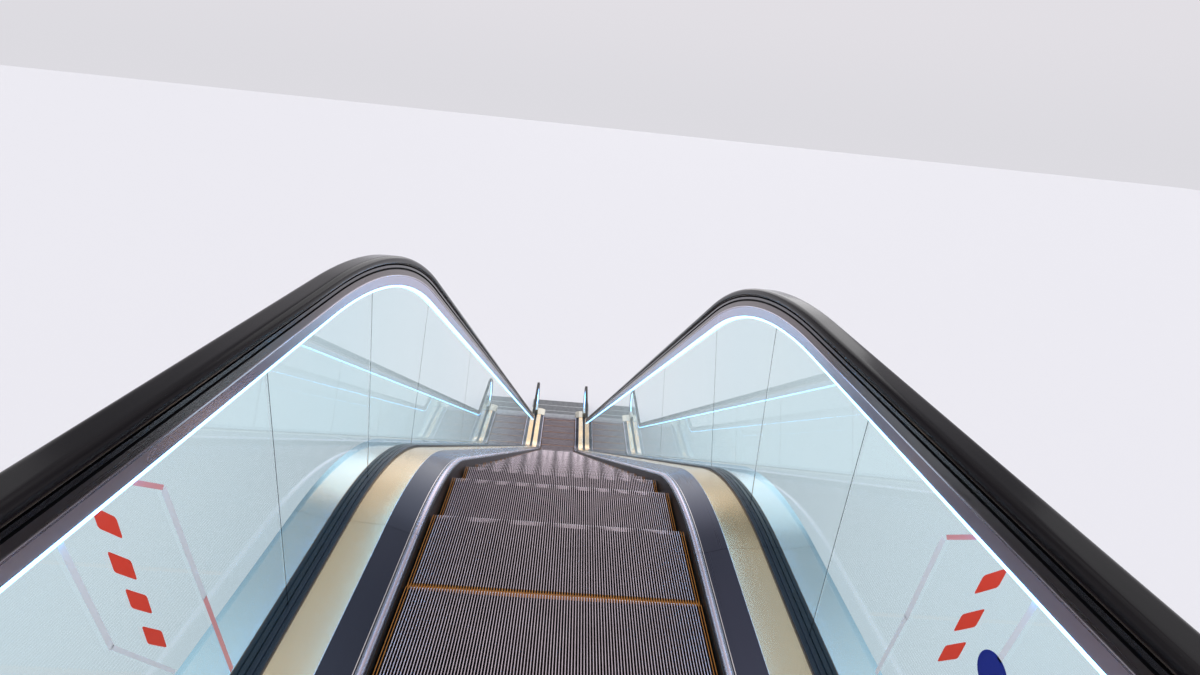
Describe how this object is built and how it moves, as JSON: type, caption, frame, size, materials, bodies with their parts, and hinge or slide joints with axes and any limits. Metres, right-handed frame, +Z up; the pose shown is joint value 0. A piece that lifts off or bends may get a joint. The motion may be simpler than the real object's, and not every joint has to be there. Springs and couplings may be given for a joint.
{
  "type": "escalator",
  "caption": "Straight escalator with clear glass balustrades, lit handrail guides, metal decks and cleated steps between two landings.",
  "frame": {"origin": "on the ground under the comb of the lower landing, on the centre line and on the flat underside of the base plate", "axes": "+Y the way down the incline, +X to the right of a rider going down, +Z up"},
  "size_m": [1.9016, 20.704, 9.0368],
  "materials": {
    "step_aluminium": "die-cast, cleated",
    "comb_plate": "ribbed",
    "floor_plate": "ribbed, dark grey",
    "skirt": "black low-friction coating",
    "skirt_trim": "polished",
    "lower_deck": "brushed, dark blue grey",
    "inner_deck": "brushed, champagne",
    "outer_deck": "brushed",
    "glass_clamp": "anodised",
    "gasket": "matt",
    "glass": "clear, faint green",
    "handrail_guide": "satin",
    "light_strip": "opal diffuser",
    "handrail": "glossy",
    "newel_base": "brushed",
    "cladding": "satin",
    "soffit": "satin",
    "bearing": "primer",
    "housing": "primer"
  },
  "bodies": {
    "root": {"upper_landing_steps": "step_aluminium", "upper_curve_steps": "step_aluminium", "upper_incline_steps": "step_aluminium", "middle_incline_steps": "step_aluminium", "lower_incline_steps": "step_aluminium", "lower_curve_steps": "step_aluminium", "lower_landing_steps": "step_aluminium", "upper_comb_plate": "comb_plate", "lower_comb_plate": "comb_plate", "upper_floor_plate": "floor_plate", "lower_floor_plate": "floor_plate", "left_skirt": "skirt", "right_skirt": "skirt", "left_skirt_trim": "skirt_trim", "right_skirt_trim": "skirt_trim", "left_lower_deck": "lower_deck", "right_lower_deck": "lower_deck", "left_inner_deck": "inner_deck", "right_inner_deck": "inner_deck", "left_glass_clamp": "glass_clamp", "right_glass_clamp": "glass_clamp", "left_gasket": "gasket", "right_gasket": "gasket", "left_glass": "glass", "right_glass": "glass", "left_outer_deck": "outer_deck", "right_outer_deck": "outer_deck", "left_handrail_guide": "handrail_guide", "right_handrail_guide": "handrail_guide", "left_light_strip": "light_strip", "right_light_strip": "light_strip", "left_handrail": "handrail", "right_handrail": "handrail", "upper_handrail_inlets": "newel_base", "lower_handrail_inlets": "newel_base", "left_cladding": "cladding", "right_cladding": "cladding", "soffit": "soffit", "upper_end_cover": "soffit", "upper_bearing": "bearing", "step_bed": "housing", "left_housing": "housing", "right_housing": "housing", "base_plate": "housing"}
  },
  "joints": []
}
